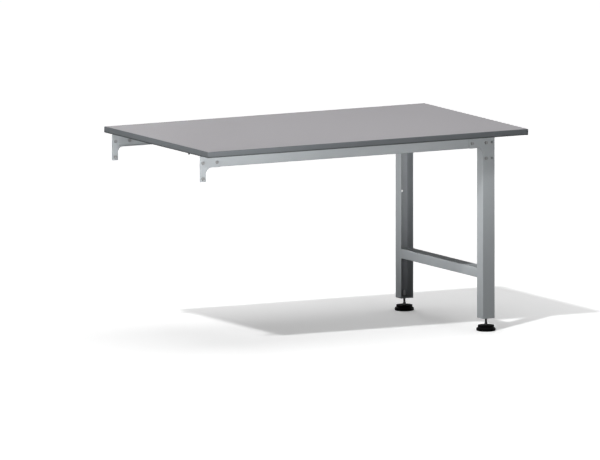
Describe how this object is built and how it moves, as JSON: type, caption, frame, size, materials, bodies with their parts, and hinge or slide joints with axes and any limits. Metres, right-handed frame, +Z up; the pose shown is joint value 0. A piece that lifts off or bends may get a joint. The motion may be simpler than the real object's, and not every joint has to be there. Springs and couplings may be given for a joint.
{
  "type": "packing table",
  "caption": "Antistatic packing table add-on unit: laminated worktop on channel rails, legs with a crossbar and screw feet at one end, hanger plates at the other for a neighbouring table.",
  "frame": {"origin": "On the floor, under the middle of the worktop's outline.", "axes": "+X along the worktop towards the end with legs, +Y to the rear, +Z up."},
  "size_m": [1.5, 0.9, 0.84],
  "materials": {
    "antistatic_laminate": "fine-grained matt grey laminate",
    "edging": "smooth dark grey edge strip",
    "chipboard": "raw chipboard",
    "backing_sheet": "matt grey backing sheet",
    "silver_paint": "light grey powder coat, fine texture",
    "zinc_plate": "bright zinc plate",
    "black_steel": "dark-plated steel, satin",
    "black_nylon": "moulded black nylon",
    "black_rubber": "black rubber"
  },
  "bodies": {
    "frame": {"bolt_front_left_arm": "zinc_plate", "bolt_front_left_corner": "zinc_plate", "bolt_front_left_rail": "zinc_plate", "bolt_front_right_arm": "zinc_plate", "bolt_front_right_corner": "zinc_plate", "bolt_front_right_rail": "zinc_plate", "bolt_rear_left_arm": "zinc_plate", "bolt_rear_left_corner": "zinc_plate", "bolt_rear_left_rail": "zinc_plate", "bolt_rear_right_arm": "zinc_plate", "bolt_rear_right_corner": "zinc_plate", "bolt_rear_right_rail": "zinc_plate", "crossbar": "silver_paint", "earth_nut": "zinc_plate", "earth_stud": "black_steel", "earth_washer": "zinc_plate", "edge_strip_front": "edging", "edge_strip_left": "edging", "edge_strip_rear": "edging", "edge_strip_right": "edging", "foot_nut_front": "zinc_plate", "foot_nut_rear": "zinc_plate", "foot_plate_front": "silver_paint", "foot_plate_rear": "silver_paint", "front_leg": "silver_paint", "front_rail": "silver_paint", "hanger_plate_front_left": "silver_paint", "hanger_plate_front_right": "silver_paint", "hanger_plate_rear_left": "silver_paint", "hanger_plate_rear_right": "silver_paint", "nut_front_left_arm": "zinc_plate", "nut_front_left_corner": "zinc_plate", "nut_front_left_rail": "zinc_plate", "nut_front_right_arm": "zinc_plate", "nut_front_right_corner": "zinc_plate", "nut_front_right_rail": "zinc_plate", "nut_rear_left_arm": "zinc_plate", "nut_rear_left_corner": "zinc_plate", "nut_rear_left_rail": "zinc_plate", "nut_rear_right_arm": "zinc_plate", "nut_rear_right_corner": "zinc_plate", "nut_rear_right_rail": "zinc_plate", "rear_leg": "silver_paint", "rear_rail": "silver_paint", "top_screw_front_1": "zinc_plate", "top_screw_front_2": "zinc_plate", "top_screw_front_3": "zinc_plate", "top_screw_rear_1": "zinc_plate", "top_screw_rear_2": "zinc_plate", "top_screw_rear_3": "zinc_plate", "worktop_backing": "backing_sheet", "worktop_core": "chipboard", "worktop_laminate": "antistatic_laminate"},
    "front_foot": {"foot_pad_front": "black_nylon", "foot_sole_front": "black_rubber"},
    "front_stem": {"foot_stem_front": "black_steel"},
    "rear_foot": {"foot_pad_rear": "black_nylon", "foot_sole_rear": "black_rubber"},
    "rear_stem": {"foot_stem_rear": "black_steel"}
  },
  "joints": [
    {"name": "front_foot_height", "type": "slide", "parent": "frame", "child": "front_foot", "axis": [0, 0, -1], "range_m": [-0.018, 0.02]},
    {"name": "front_stem_turn", "type": "hinge", "parent": "front_foot", "child": "front_stem", "pos_m": [0.6035, -0.353, 0.03], "axis": [0, 0, -1], "range_deg": [-4325, 4805]},
    {"name": "rear_foot_height", "type": "slide", "parent": "frame", "child": "rear_foot", "axis": [0, 0, -1], "range_m": [-0.018, 0.02]},
    {"name": "rear_stem_turn", "type": "hinge", "parent": "rear_foot", "child": "rear_stem", "pos_m": [0.6035, 0.353, 0.03], "axis": [0, 0, -1], "range_deg": [-4325, 4805]}
  ],
  "couplings": [
    {"joint": "front_stem_turn", "follows": "front_foot_height", "rad_per_m": 4188.8},
    {"joint": "rear_stem_turn", "follows": "rear_foot_height", "rad_per_m": 4188.8}
  ]
}
